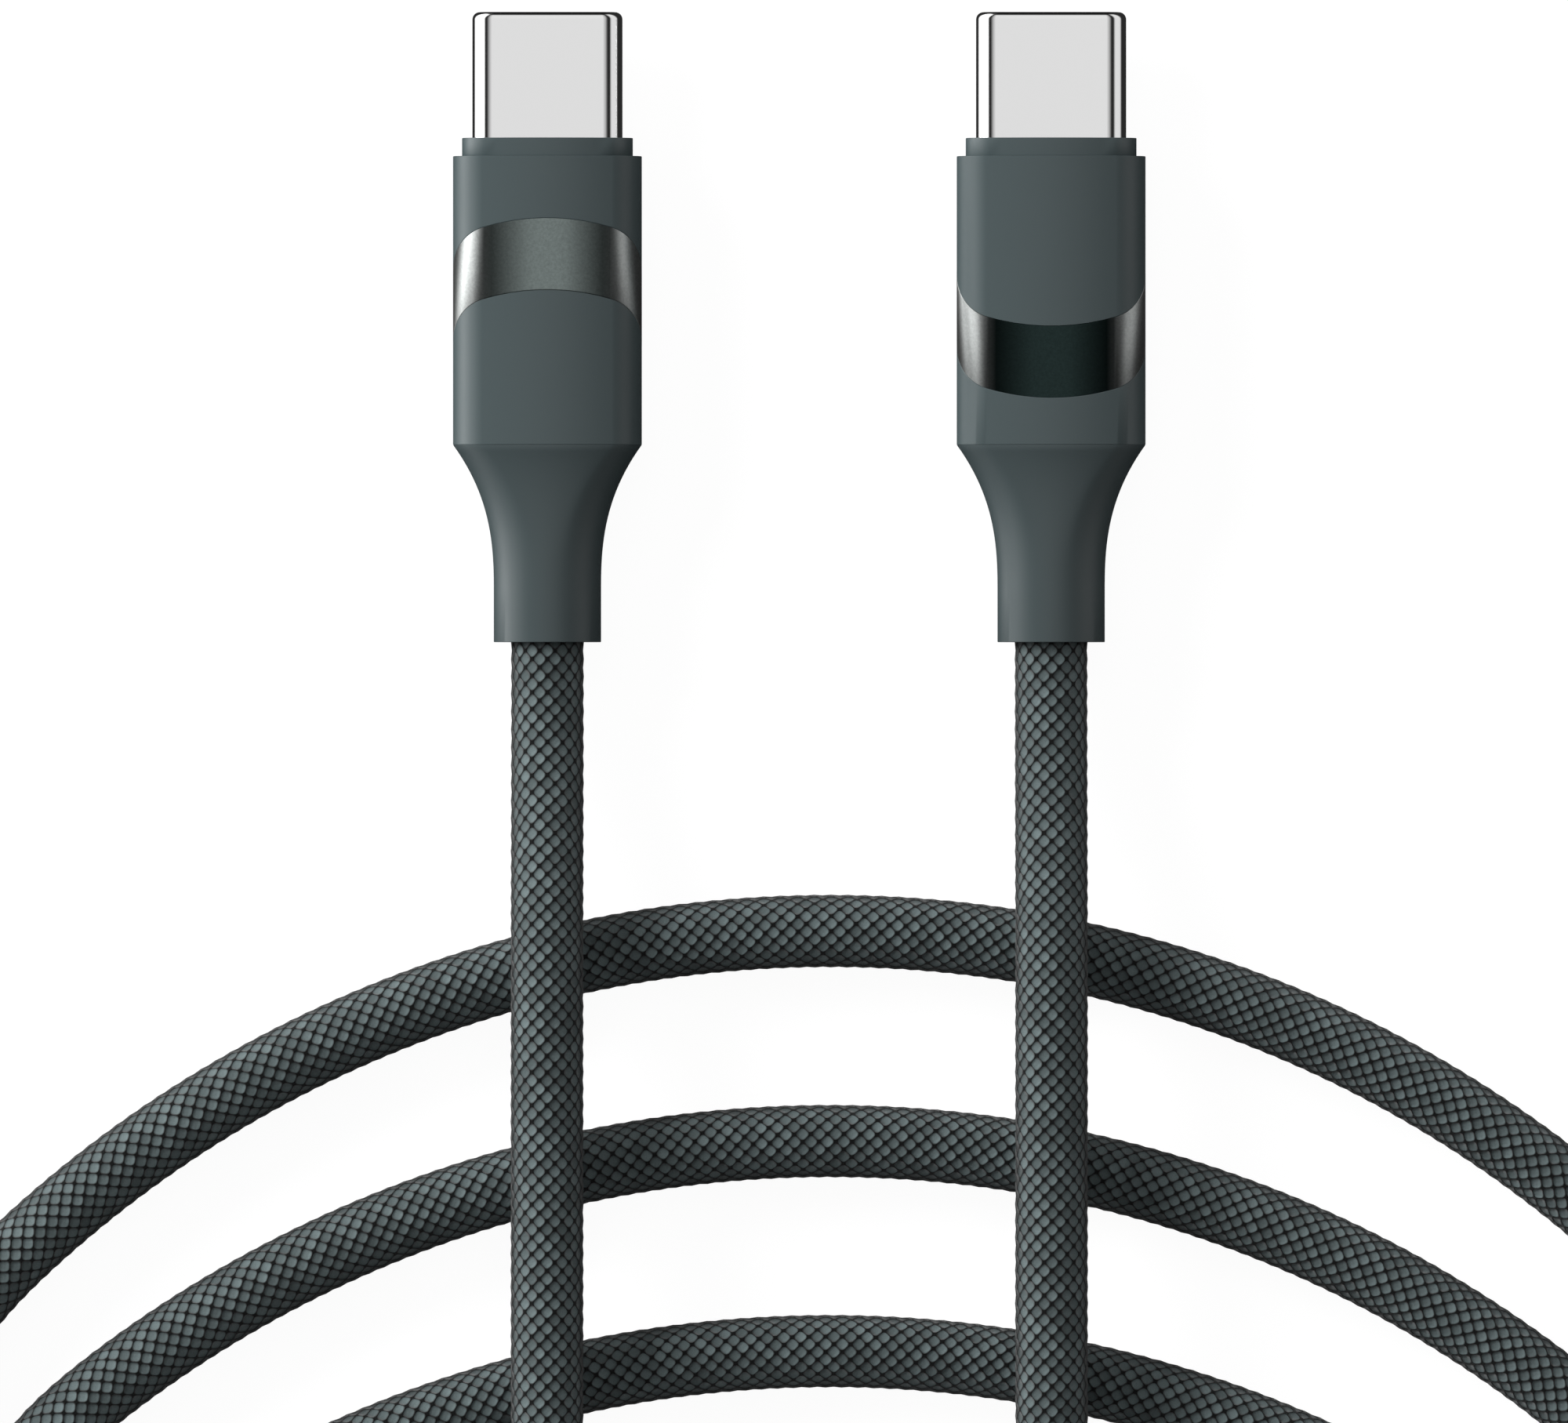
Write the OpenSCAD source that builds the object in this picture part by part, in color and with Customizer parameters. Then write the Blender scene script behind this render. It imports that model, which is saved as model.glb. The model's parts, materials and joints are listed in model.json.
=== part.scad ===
// Braided charging cable with a small reversible plug on each end, lying in loose turns.
// Millimetres, +Z up. Both plugs lie flat and point along +Y, side by side. The origin is on
// the surface, midway between the two connectors. A connector's modules are drawn about its
// own axis, with the tip of the plug at y = 0 and the cord leaving along -Y.

/* [Connectors] */
// Distance between the axes of the two connectors
plug_spacing = 27.68; // [20:0.02:27.7]

/* [Plug shell] */
// Width of the metal plug
shell_w = 8.25; // [8.1:0.01:8.3]
// Thickness of the metal plug
shell_h = 2.4; // [2.35:0.01:2.45]
// Sheet thickness of the drawn shell
shell_wall = 0.3; // [0.2:0.01:0.32]
// Outside radius of the rim, where the sheet is turned inwards
rim_r = 0.35; // [0.33:0.01:0.45]
// Length of plug that stands out of the body
shell_out = 6.92; // [6.6:0.01:7.4]
// Length of plug held inside the body
shell_held = 3.2; // [2.8:0.1:3.4]

/* [Contacts] */
// Spacing of the contacts
pin_pitch = 0.5; // [0.45:0.01:0.5]
// Width of one contact beam
pin_w = 0.24; // [0.18:0.01:0.28]
// Thickness of the contact strip
pin_t = 0.13; // [0.08:0.01:0.14]
// How much narrower than the shell the slot for the socket's tongue is
slot_narrower = 1.35; // [1.3:0.01:1.5]
// Height of that slot
slot_h = 0.84; // [0.78:0.01:0.9]
// Depth of that slot from the tip
slot_depth = 6.0; // [5.6:0.1:6.4]

/* [Circuit card] */
// Room beside the card, inside the shields
card_room = 0.5; // [0.45:0.05:0.8]
// Thickness of the card
card_t = 0.8; // [0.6:0.05:0.82]
// Length of the card
card_len = 7.2; // [6.8:0.1:7.4]

/* [Body] */
// How far the body stands out beside the plug
body_beside = 1.065; // [1.02:0.005:1.4]
// How far the body stands out over the cord
body_over = 1.0; // [0.95:0.01:1.1]
// Length of the body, from its front face to the strain relief
body_len = 15.86; // [15.6:0.02:17]
// Wall of the body
body_wall = 0.9; // [0.8:0.02:0.96]
// Radius of the body's broad faces
face_r = 12.5; // [11.5:0.1:14]
// Radius of the body's narrow sides
side_r = 6.0; // [5.7:0.1:7]
// Radius of the body's corners, as a share of its thickness
corner_share = 0.3866; // [0.34:0.001:0.4]
// Length of the stepped nose in front of the body
nose_len = 1.0; // [0.8:0.05:1.4]
// How far the nose is stepped in from the body
nose_step = 0.495; // [0.3:0.005:0.6]

/* [Trim band] */
// Width of the band along the body
band_w = 3.95; // [3:0.05:4.5]
// Distance from the plug's tip to the middle of the band
band_mid = 16.28; // [15.9:0.02:16.8]
// Slant of the band
band_slant = 45; // [40:1:50]
// Thickness of the band
band_t = 0.35; // [0.2:0.01:0.45]

/* [Strain relief] */
// Length over which the strain relief tapers
boot_taper = 8.0; // [7:0.1:9]
// Length of its straight end
boot_end = 2.84; // [2:0.02:4]
// Diameter of its straight end
boot_d = 5.9; // [5.4:0.02:5.9]
// How quickly it narrows: 1 is a straight taper
boot_curve = 2.6; // [2:0.1:3]
// Length of the tongue that holds it in the body
boot_tongue = 2.0; // [1.6:0.1:2.2]

/* [Cord] */
// Diameter over the braid
cord_d = 3.95; // [3.7:0.05:3.95]
// Thickness of the braid
braid_t = 0.35; // [0.25:0.01:0.4]
// Wall of the jacket under the braid
jacket_t = 0.32; // [0.25:0.01:0.34]
// Diameter of the power and ground wires
power_d = 1.0; // [0.8:0.02:1.02]
// Diameter of the data and control wires
signal_d = 0.6; // [0.5:0.02:0.62]

/* [Turns] */
// Radius of the tops of the turns
turn_r = 65.2; // [64:0.1:66]
// Middle of the turns, to the right of the origin
turn_x = 1.68; // [1:0.02:2.4]
// Top of the outermost turn
turn_top = -33.15; // [-34:0.05:-32.5]
// Distance from the top of one turn to the top of the next
turn_step = 11.55; // [11:0.05:12]
// Spacing of the turns at their sides and bottoms
lane = 4.6; // [4.5:0.05:4.8]
// Left side of the outermost turn
left_x = -50; // [-51:0.1:-49.5]
// Right side of the outermost turn
right_x = 52.5; // [52:0.1:53.5]
// Place along Y at which the sides turn into the bottom corners
corner_y = -80.5; // [-82:0.1:-80]
// Radius of the innermost bottom corner
corner_inner_r = 16; // [16:0.5:18]
// Radius of the bottom of the outermost turn
bottom_r = 90; // [80:1:110]

/* [Hidden] */
ENDS = ["left", "right"];
PIECES = ["plug_shell", "contact_carrier", "upper_contacts", "lower_contacts", "latch_spring",
          "upper_ground_spring", "lower_ground_spring", "paddle_card", "capacitors",
          "power_wire", "ground_wire", "data_wires", "control_wire",
          "upper_shield", "lower_shield", "inner_mould", "nose_collar",
          "front_housing", "rear_housing", "trim_band", "strain_relief",
          "crimp_ferrule", "jacket_end", "braid_end"];
CORDS = ["left_lead", "right_lead", "cord_coil"];

SLATE = "#4c5658";
STEEL = "#d4d6d6";
BLACK_RESIN = "#1c1d1e";
GOLD = "#d9b45a";
BRAID = "#3f494b";

fit = 0.02;         // clearance round each piece that is held by another
overlap = 0.05;     // how far a cutter runs past the face it cuts

// The body goes round the plug and the cord, and the connectors rest on the surface
slot_w = shell_w - slot_narrower;
body_w = shell_w + 2 * body_beside;
body_h = cord_d + 2 * body_over;
corner_r = corner_share * body_h;
axis_z = body_h / 2;

// Places along a connector, measured back from the tip
nose_y = shell_out;
body_y = nose_y + nose_len;
boot_y = body_y + body_len;
mouth_y = boot_y + boot_taper + boot_end;
half_len = mouth_y / 2;
shell_back = shell_out + shell_held;
carrier_front = 0.4;
crimp_room = 4.3;   // from the shields to the strain relief
carrier_back = shell_back - 1.5;
card_y = carrier_back + 0.6;
card_back = card_y + card_len;
shield_y = shell_back + 0.1;
shield_back = boot_y - crimp_room;
jacket_front = shield_back + 0.7;
braid_front = boot_y + 0.5;
ferrule_front = jacket_front + 0.2;
ferrule_back = braid_front - fit;
tongue_front = boot_y - boot_tongue;
collar_back = body_y + 2;

// Section of the body: face, corner and side arcs, each running smoothly into the next
half_w = body_w / 2;
half_h = body_h / 2;
face_centre = [0, half_h - face_r];
side_centre = [half_w - side_r, 0];
centre_gap = norm(side_centre - face_centre);
face_reach = face_r - corner_r;
side_reach = side_r - corner_r;
to_side = (side_centre - face_centre) / centre_gap;
corner_along = (face_reach ^ 2 - side_reach ^ 2 + centre_gap ^ 2) / (2 * centre_gap);
corner_off = sqrt(face_reach ^ 2 - corner_along ^ 2);
corner_centre = face_centre + to_side * corner_along + [to_side[1], -to_side[0]] * corner_off;
face_to_corner = corner_centre - face_centre;
side_to_corner = corner_centre - side_centre;
face_end = atan2(face_to_corner[1], face_to_corner[0]);
side_end = atan2(side_to_corner[1], side_to_corner[0]);
bore_inset = body_wall + fit;

// Contacts: 1 to 12 across the plug, with those that a charging cable leaves out
upper_pins = [1, 4, 5, 6, 7, 9, 12];
lower_pins = [1, 4, 5, 9, 12];
pin_count = 12;
channel_w = pin_w + 0.08;
channel_top = 0.75;
carrier_r = shell_h / 2 - shell_wall - fit;
carrier_w = shell_w - 2 * (shell_wall + fit);
card_top = card_t / 2;
beam_z = 0.58;
bump_z = slot_h / 2 - 0.1;
finger_x = [-2.25, -0.75, 0.75, 2.25];
finger_w = 0.4;
spring_t = 0.1;
spring_w = 5.4;
latch_t = 0.3;
latch_outer = slot_w / 2 + 0.26;
latch_inner = slot_w / 2 + 0.05;
latch_hook = slot_w / 2 - 0.25;
shield_wall = 0.2;
shield_w = body_w - 2 * (body_wall + 0.24);
shield_h = body_h - 2 * (body_wall + 0.375);
card_w = shield_w - 2 * (shield_wall + card_room);
chip_size = 2;
chip_y = card_y + 2.2;
jacket_d = cord_d - 2 * braid_t;
bundle_d = jacket_d - 2 * jacket_t;
ferrule_wall = 0.25;
ferrule_d = jacket_d + 2 * (fit + ferrule_wall);

function unit(v) = v / norm(v);
function mix(from, to, share) = from + (to - from) * share;

// ---- Tubes ----

function step_dir(path, i) = unit(path[i + 1] - path[i]);
function heading(path, i) =
    i == 0 ? step_dir(path, 0) :
    i == len(path) - 1 ? step_dir(path, i - 1) :
    unit(step_dir(path, i - 1) + step_dir(path, i));
function tube_points(path, r, sides, turn) =
    [for (i = [0 : len(path) - 1])
        let (ahead = heading(path, i), across = unit(cross(ahead, [0, 0, 1])),
             up = cross(across, ahead))
        for (k = [0 : sides - 1])
            let (a = turn + 360 * k / sides)
            path[i] + r * (cos(a) * across + sin(a) * up)];
// Triangles between rings of equal size, and a fan over each end
function skin_faces(rings, sides) = concat(
    [for (i = [0 : rings - 2]) for (k = [0 : sides - 1])
        let (n = (k + 1) % sides, low = i * sides, high = low + sides)
        each [[low + k, low + n, high + n], [low + k, high + n, high + k]]],
    [for (k = [1 : sides - 2]) [0, k + 1, k]],
    [for (k = [1 : sides - 2]) let (last = (rings - 1) * sides) [last, last + k, last + k + 1]]);

module tube(path, d, sides, turn = 0) {
    polyhedron(tube_points(path, d / 2, sides, turn), skin_faces(len(path), sides));
}

// ---- Profiles ----

// A length of a section, from distance `from` to distance `to` behind the tip
module along(from, to) {
    translate([0, -from, 0]) rotate([90, 0, 0]) linear_extrude(to - from) children();
}

module round_bar(from, to, d) {
    along(from, to) circle(d = d, $fn = 48);
}

module slot_shape(w, h) {
    square([w - h, h], center = true);
    for (side = [-1, 1]) translate([side * (w - h) / 2, 0]) circle(d = h, $fn = 64);
}

// Points of the body's outline by the direction that the surface faces, drawn in by inset
function outline_point(facing, inset = 0) =
    facing >= face_end ? face_centre + (face_r - inset) * [cos(facing), sin(facing)] :
    facing >= side_end ? corner_centre + (corner_r - inset) * [cos(facing), sin(facing)] :
    side_centre + (side_r - inset) * [cos(facing), sin(facing)];

// Directions all round, each as an angle in the first quarter and the signs of its own quarter
function facings(side_steps, corner_steps, face_steps) =
    let (quarter = concat(
        [for (i = [0 : side_steps - 1]) mix(0, side_end, i / side_steps)],
        [for (i = [0 : corner_steps - 1]) mix(side_end, face_end, i / corner_steps)],
        [for (i = [0 : face_steps - 1]) mix(face_end, 90, i / face_steps)]),
        last = len(quarter) - 1)
    concat([for (a = quarter) [a, 1, 1]], [[90, 1, 1]],
           [for (i = [last : -1 : 0]) [quarter[i], -1, 1]],
           [for (i = [1 : last]) [quarter[i], -1, -1]], [[90, 1, -1]],
           [for (i = [last : -1 : 1]) [quarter[i], 1, -1]]);

// The body's section, drawn in by an even amount all round
module body_section(inset = 0) {
    polygon([for (f = facings(3, 9, 5)) let (p = outline_point(f[0], inset)) [f[1] * p[0], f[2] * p[1]]]);
}

// A slanted cut across the body: everything between two distances from the band's middle
module slanted(from, to) {
    translate([0, -band_mid, 0]) rotate([-band_slant, 0, 0])
        translate([-half_w - 1, -to, -body_h - 2]) cube([body_w + 2, to - from, 2 * body_h + 4]);
}

// ---- Plug ----

// The wall of the drawn shell, outwards from the middle of its rounded side
module shell_wall_shape() {
    outer = shell_h / 2;
    translate([outer - shell_wall, -shell_back]) square([shell_wall, shell_back - rim_r]);
    intersection() {
        difference() {
            translate([outer - rim_r, -rim_r]) circle(rim_r, $fn = 48);
            translate([outer - rim_r, -rim_r]) circle(rim_r - shell_wall, $fn = 24);
        }
        translate([outer - rim_r, -rim_r]) square(rim_r);
    }
}

module plug_shell() {
    straight = shell_w - shell_h;
    color(STEEL) {
        for (side = [-1, 1]) translate([side * straight / 2, 0, 0])
            rotate([-90, 0, 0]) rotate([0, 0, -90 * side]) rotate_extrude(angle = 180, $fn = 64)
                shell_wall_shape();
        for (m = [0, 1]) mirror([0, 0, m]) translate([-straight / 2, 0, 0])
            rotate([90, 0, 90]) linear_extrude(straight)
                rotate(90) mirror([0, 1]) shell_wall_shape();
    }
}

// One row of cuts for contacts, above the slot
module contact_channels() {
    for (i = [1 : pin_count]) translate([pin_x(i) - channel_w / 2, -carrier_back - overlap, 0])
        cube([channel_w, carrier_back - 1, channel_top]);
}

module contact_carrier() {
    latch_gap = latch_t / 2 + fit;
    color(BLACK_RESIN) difference() {
        along(carrier_front, carrier_back) slot_shape(carrier_w, 2 * carrier_r);
        translate([-slot_w / 2, -slot_depth, -slot_h / 2]) cube([slot_w, slot_depth, slot_h]);
        for (m = [0, 1]) mirror([0, 0, m]) {
            contact_channels();
            // Recess for the ground spring, and a window for each of its fingers
            translate([-spring_w / 2 - fit, -3.5, carrier_r - spring_t - fit])
                cube([spring_w + 2 * fit, 2.1, 1]);
            for (x = finger_x) translate([x - finger_w / 2 - 0.05, -1.45, 0])
                cube([finger_w + 0.1, 1.45, 1]);
        }
        // Room for the latch: a gap along each side and one across the back
        for (side = [0, 1]) mirror([side, 0, 0]) translate([latch_hook, -carrier_back - 1, -latch_gap])
            cube([carrier_w / 2, carrier_back - 0.4, 2 * latch_gap]);
        translate([-carrier_w / 2, -carrier_back - 1, -latch_gap])
            cube([carrier_w, 1.9, 2 * latch_gap]);
    }
}

function pin_x(i) = (i - (pin_count + 1) / 2) * pin_pitch;

// Side view of a contact: bump that touches the tongue, beam, and the foot on the card
contact_line = [[-1.2, beam_z - 0.06], [-1.9, bump_z], [-2.3, bump_z], [-3.3, beam_z - 0.12],
                [-5.5, beam_z], [-carrier_back + 0.1, beam_z], [-card_y - 0.1, card_top],
                [-card_y - 1.7, card_top]];

module strip_side_view(line, thickness) {
    upper = [for (i = [len(line) - 1 : -1 : 0]) line[i] + [0, thickness]];
    polygon(concat(line, upper));
}

// A bent strip, centred on x, from its side view
module bent_strip(line, thickness, w) {
    translate([-w / 2, 0, 0]) rotate([90, 0, 90]) linear_extrude(w)
        strip_side_view(line, thickness);
}

module contact_row(pins) {
    color(GOLD) for (i = pins) translate([pin_x(i), 0, 0]) bent_strip(contact_line, pin_t, pin_w);
}

module upper_contacts() {
    contact_row(upper_pins);
}

module lower_contacts() {
    rotate([0, 180, 0]) contact_row(lower_pins);
}

// U-shaped spring in the middle plane: hooks that grip the tongue, and legs beside the card
module latch_spring() {
    bar_front = -carrier_back + 0.7;
    bar_back = bar_front - 0.6;
    half = [[0, bar_front], [latch_inner, bar_front], [latch_inner, -2.9], [latch_hook, -2.5],
            [latch_hook, -2.2], [latch_inner, -1.95], [latch_outer, -1.95],
            [latch_outer, -carrier_back - 1.4], [latch_inner, -carrier_back - 1.4],
            [latch_inner, bar_back], [0, bar_back]];
    color(STEEL) translate([0, 0, -latch_t / 2]) linear_extrude(latch_t)
        polygon(concat(half, [for (i = [len(half) - 2 : -1 : 1]) [-half[i][0], half[i][1]]]));
}

// Spring plate with four fingers that touch the tongue's ground pads
module ground_spring() {
    plate_z = carrier_r - spring_t;
    finger_line = [[-1.5, plate_z], [-1.2, 0.6], [-0.95, 0.34], [-0.8, 0.34], [-0.6, 0.45]];
    color(STEEL) {
        translate([-spring_w / 2, -3.45, plate_z]) cube([spring_w, 2, spring_t]);
        for (x = finger_x) translate([x, 0, 0]) bent_strip(finger_line, spring_t, finger_w);
    }
}

module upper_ground_spring() {
    ground_spring();
}

module lower_ground_spring() {
    rotate([0, 180, 0]) ground_spring();
}

// ---- Circuit card and shields ----

module paddle_card() {
    color("#1d5a3c") translate([-card_w / 2, -card_back, -card_t / 2])
        cube([card_w, card_len, card_t]);
}

// Two capacitors across the supply, under the card
module capacitors() {
    color("#b9a183") for (side = [-1, 1])
        translate([side * 1.6 - 0.5, -card_y - 3.6, -card_t / 2 - 0.5]) cube([1, 0.5, 0.5]);
}

// Chip that tells the charger what current the cable carries, on one end only
module cable_chip() {
    color(BLACK_RESIN) translate([-chip_size / 2, -chip_y - chip_size, card_top])
        cube([chip_size, chip_size, 0.55]);
}

module shield_half() {
    intersection() {
        along(shield_y, shield_back) difference() {
            slot_shape(shield_w, shield_h);
            slot_shape(shield_w - 2 * shield_wall, shield_h - 2 * shield_wall);
        }
        translate([-shield_w, -shield_back, 0.01]) cube([2 * shield_w, shield_back, shield_h]);
    }
}

module upper_shield() {
    color(STEEL) shield_half();
}

module lower_shield() {
    color(STEEL) rotate([0, 180, 0]) shield_half();
}

// ---- Wires ----

// Each wire runs straight through the cord's end, then fans out to its pad on the card
wire_end = -card_back + 1.4;
pad_start = -card_back - 0.6;
spread_mid = (pad_start - jacket_front) / 2 + 0.1;

module wire(from, pad, d) {
    rise = card_top + fit + d / 2;
    seat = [pad[0], pad[1] * rise];
    half_way = mix(from, seat, 0.45);
    tube([[from[0], -mouth_y, from[1]], [from[0], -boot_y, from[1]],
          [from[0], -jacket_front - 0.3, from[1]], [half_way[0], spread_mid, half_way[1]],
          [seat[0], pad_start, seat[1]], [seat[0], wire_end, seat[1]]], d, 8, 22.5);
}

module power_wire() {
    color("#b3241f") wire([-0.56, -0.26], [-1.9, 1], power_d);
}

module ground_wire() {
    color("#26282a") wire([0.56, -0.26], [1.9, 1], power_d);
}

module data_wires() {
    color("#e6e6e0") wire([-0.35, 0.62], [-0.45, 1], signal_d);
    color("#2f7a45") wire([0.35, 0.62], [0.45, 1], signal_d);
}

module control_wire() {
    color("#2d5fa8") wire([0, -0.92], [0, -1], signal_d);
}

// ---- Cord's end ----

module crimp_ferrule() {
    color("#b98a5a") difference() {
        round_bar(ferrule_front, ferrule_back, ferrule_d);
        round_bar(ferrule_front - 1, ferrule_back + 1, ferrule_d - 2 * ferrule_wall);
    }
}

module jacket_end() {
    color("#2a2c2d") difference() {
        round_bar(jacket_front, mouth_y, jacket_d);
        round_bar(jacket_front - 1, mouth_y + 1, bundle_d);
    }
}

module braid_end() {
    color(BRAID) difference() {
        round_bar(braid_front, mouth_y, cord_d);
        round_bar(braid_front - 1, mouth_y + 1, jacket_d + fit);
    }
}

// ---- Mouldings ----

// Filling that holds the shields, the crimp and the card inside the body
module inner_mould() {
    color("#c9c6bb") difference() {
        along(collar_back + fit, tongue_front - fit) body_section(bore_inset);
        along(collar_back, shield_y - fit) slot_shape(shell_w + 2 * fit, shell_h + 2 * fit);
        along(shield_y - 2 * fit, shield_back + fit)
            slot_shape(shield_w + 2 * fit, shield_h + 2 * fit);
        round_bar(shield_back, boot_y, ferrule_d + 2 * fit);
    }
}

module nose_collar() {
    color(SLATE) difference() {
        union() {
            along(nose_y, body_y) body_section(nose_step);
            along(body_y - overlap, collar_back) body_section(bore_inset);
        }
        along(nose_y - 1, collar_back + 1) slot_shape(shell_w + 2 * fit, shell_h + 2 * fit);
    }
}

module body_tube(inset = 0) {
    along(body_y, boot_y) difference() {
        body_section(inset);
        body_section(body_wall);
    }
}

slab_half = band_w * cos(band_slant) / 2;

module front_housing() {
    color(SLATE) intersection() {
        body_tube();
        slanted(-body_len, -slab_half);
    }
}

// Rear half, with the spigot that carries the band
module rear_housing() {
    color(SLATE) {
        intersection() {
            body_tube();
            slanted(slab_half, body_len);
        }
        intersection() {
            body_tube(band_t + fit);
            slanted(-slab_half + fit, slab_half + overlap);
        }
    }
}

module trim_band() {
    color("#8b9192") intersection() {
        along(body_y, boot_y) difference() {
            body_section();
            body_section(band_t);
        }
        slanted(-slab_half + fit, slab_half - fit);
    }
}

boot_facings = facings(2, 7, 2);

// The strain relief's outline some way down its taper: body outline turning into a circle
function boot_ring(s) =
    let (body_share = max(0, 1 - s / boot_taper) ^ boot_curve)
    [for (f = boot_facings)
        let (p = mix(boot_d / 2 * [cos(f[0]), sin(f[0])], outline_point(f[0]), body_share))
        [-f[1] * p[0], -boot_y - s, f[2] * p[1]]];
boot_stations = concat([0, 0.4, 0.8, 1.3, 1.8, 2.4, 3, 3.7, 4.5, 5.4, 6.5, 8] / 8 * boot_taper,
                       [boot_taper + boot_end]);

module strain_relief() {
    color(SLATE) difference() {
        union() {
            polyhedron([for (s = boot_stations) each boot_ring(s)],
                       skin_faces(len(boot_stations), len(boot_facings)));
            along(tongue_front, boot_y + overlap) body_section(bore_inset);
        }
        round_bar(tongue_front - 1, braid_front - fit, ferrule_d + 2 * fit);
        round_bar(braid_front - fit - overlap, mouth_y + 1, cord_d + 2 * fit);
    }
}

// ---- Cord ----

// The cord lies on the surface, and the leads pass over the turns
lying_z = cord_d / 2;
left_exit = [-plug_spacing / 2, -half_len, axis_z];
right_exit = [plug_spacing / 2, -half_len, axis_z];
lead_x = plug_spacing / 2;

turn_angle = 15;      // most turning from one ring of the coil to the next
bottom_angle = 8;     // the same along the bottoms, which lie close together
shoulder_r = [16, 15, 20];
inner_bend_r = 20;
straight_end = 4;

function arc(centre, r, from, to, most = turn_angle) =
    let (steps = max(1, round(abs(to - from) / most)))
    [for (i = [0 : steps]) let (a = mix(from, to, i / steps))
        [centre[0] + r * cos(a), centre[1] + r * sin(a), lying_z]];
function rest_of(points) = [for (i = [1 : len(points) - 1]) points[i]];

// Turn k, counted outwards from 0: up its right side, over the top and down its left side
function over_the_top(k) =
    let (inward = 2 - k,
         centre = [turn_x, turn_top - turn_step * inward - turn_r],
         r = shoulder_r[k], reach = turn_r - r,
         right = right_x - lane * inward - r - turn_x,
         left = turn_x - (left_x + lane * inward + r),
         right_end = acos(right / reach), left_end = 180 - acos(left / reach))
    concat(arc(centre + reach * [cos(right_end), sin(right_end)], r, 0, right_end),
           rest_of(arc(centre, turn_r, right_end, left_end)),
           rest_of(arc(centre + reach * [cos(left_end), sin(left_end)], r, left_end, 180)));

// The bottoms share their centres, so they run side by side, one lane apart. Bottom k runs from
// the left side of turn k to the right side of turn k + 1
bottom_x = (left_x + right_x + lane) / 2;
corner_off_x = (right_x + lane - left_x) / 2 - corner_inner_r - 3 * lane;
corner_reach = bottom_r - corner_inner_r - 3 * lane;
bottom_centre = [bottom_x, corner_y + sqrt(corner_reach ^ 2 - corner_off_x ^ 2)];
bottom_half_angle = asin(corner_off_x / corner_reach);
function corner_r_of(k) = corner_inner_r + lane * (k + 1);
function bottom_left(k) =
    arc([bottom_x - corner_off_x, corner_y], corner_r_of(k), 180, 270 - bottom_half_angle);
function bottom_run(k, from, to) =
    rest_of(arc(bottom_centre, corner_reach + corner_r_of(k), from, to, bottom_angle));
function bottom_right(k) = rest_of(
    arc([bottom_x + corner_off_x, corner_y], corner_r_of(k), 270 + bottom_half_angle, 360));
function whole_bottom(k) = concat(bottom_left(k),
    bottom_run(k, 270 - bottom_half_angle, 270 + bottom_half_angle), bottom_right(k));

// The inner end comes down from the left lead and bends into the innermost bottom
inner_reach = corner_reach + corner_inner_r - inner_bend_r;
inner_bend_x = -lead_x + inner_bend_r;
inner_bend_y = bottom_centre[1] - sqrt(inner_reach ^ 2 - (inner_bend_x - bottom_x) ^ 2);
inner_bend_end = 360 + atan2(inner_bend_y - bottom_centre[1], inner_bend_x - bottom_x);
coil_start = [-lead_x, inner_bend_y + straight_end, lying_z];

// The outer end leaves the outermost bottom for the right lead
outer_end_angle = 257;
outer_dir = [-sin(outer_end_angle), cos(outer_end_angle), 0];
outer_left = bottom_run(2, 270 - bottom_half_angle, outer_end_angle);
coil_end = outer_left[len(outer_left) - 1] + straight_end * outer_dir;

coil_path = concat(
    [coil_start],
    arc([inner_bend_x, inner_bend_y], inner_bend_r, 180, inner_bend_end),
    bottom_run(-1, inner_bend_end, 270 + bottom_half_angle), bottom_right(-1),
    over_the_top(0), whole_bottom(0),
    over_the_top(1), whole_bottom(1),
    over_the_top(2), bottom_left(2), outer_left, [coil_end]);

left_route = concat([left_exit], [for (p = [
    [-20.3, 2.975], [-24.1, 3.37], [-27.9, 4.54], [-31.7, 5.7], [-35.5, 6.1], [-41, 6.1],
    [-46.5, 6.1], [-52, 6.1], [-58.8, 6.1], [-62.6, 5.56], [-66.4, 4.04], [-70.2, 2.52],
    [-73.6, 1.975]]) [-lead_x, p[0], p[1]]], [coil_start]);

right_route = concat([right_exit], [for (p = [
    [-20.3, 2.975], [-24.1, 3.37], [-27.9, 4.54], [-31.7, 5.7], [-35.5, 6.1], [-41, 6.1],
    [-46.5, 6.1], [-52, 6.1], [-58.2, 6.1]]) [lead_x, p[0], p[1]]], [
    [13.9, -62.6, 5.6], [14.3, -67.1, 4.04], [14.9, -71.6, 2.48], [15.7, -76, 1.975],
    [16.5, -79.8, 2.02], [17.3, -84.2, 2.66], [17.9, -89, 4.2], [18.2, -93.8, 5.6],
    [18.1, -98.4, 6.1], [17.2, -102.8, 6.1], [15.5, -106.2, 6.1], [12.8, -109.5, 6.1],
    [8.8, -112.8, 6.04], [4.1, -114.9, 5.1], [-1.1, -115.8, 3.3], [-5.3, -115.5, 2.2]],
    [coil_end + straight_end * outer_dir, coil_end]);

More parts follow.
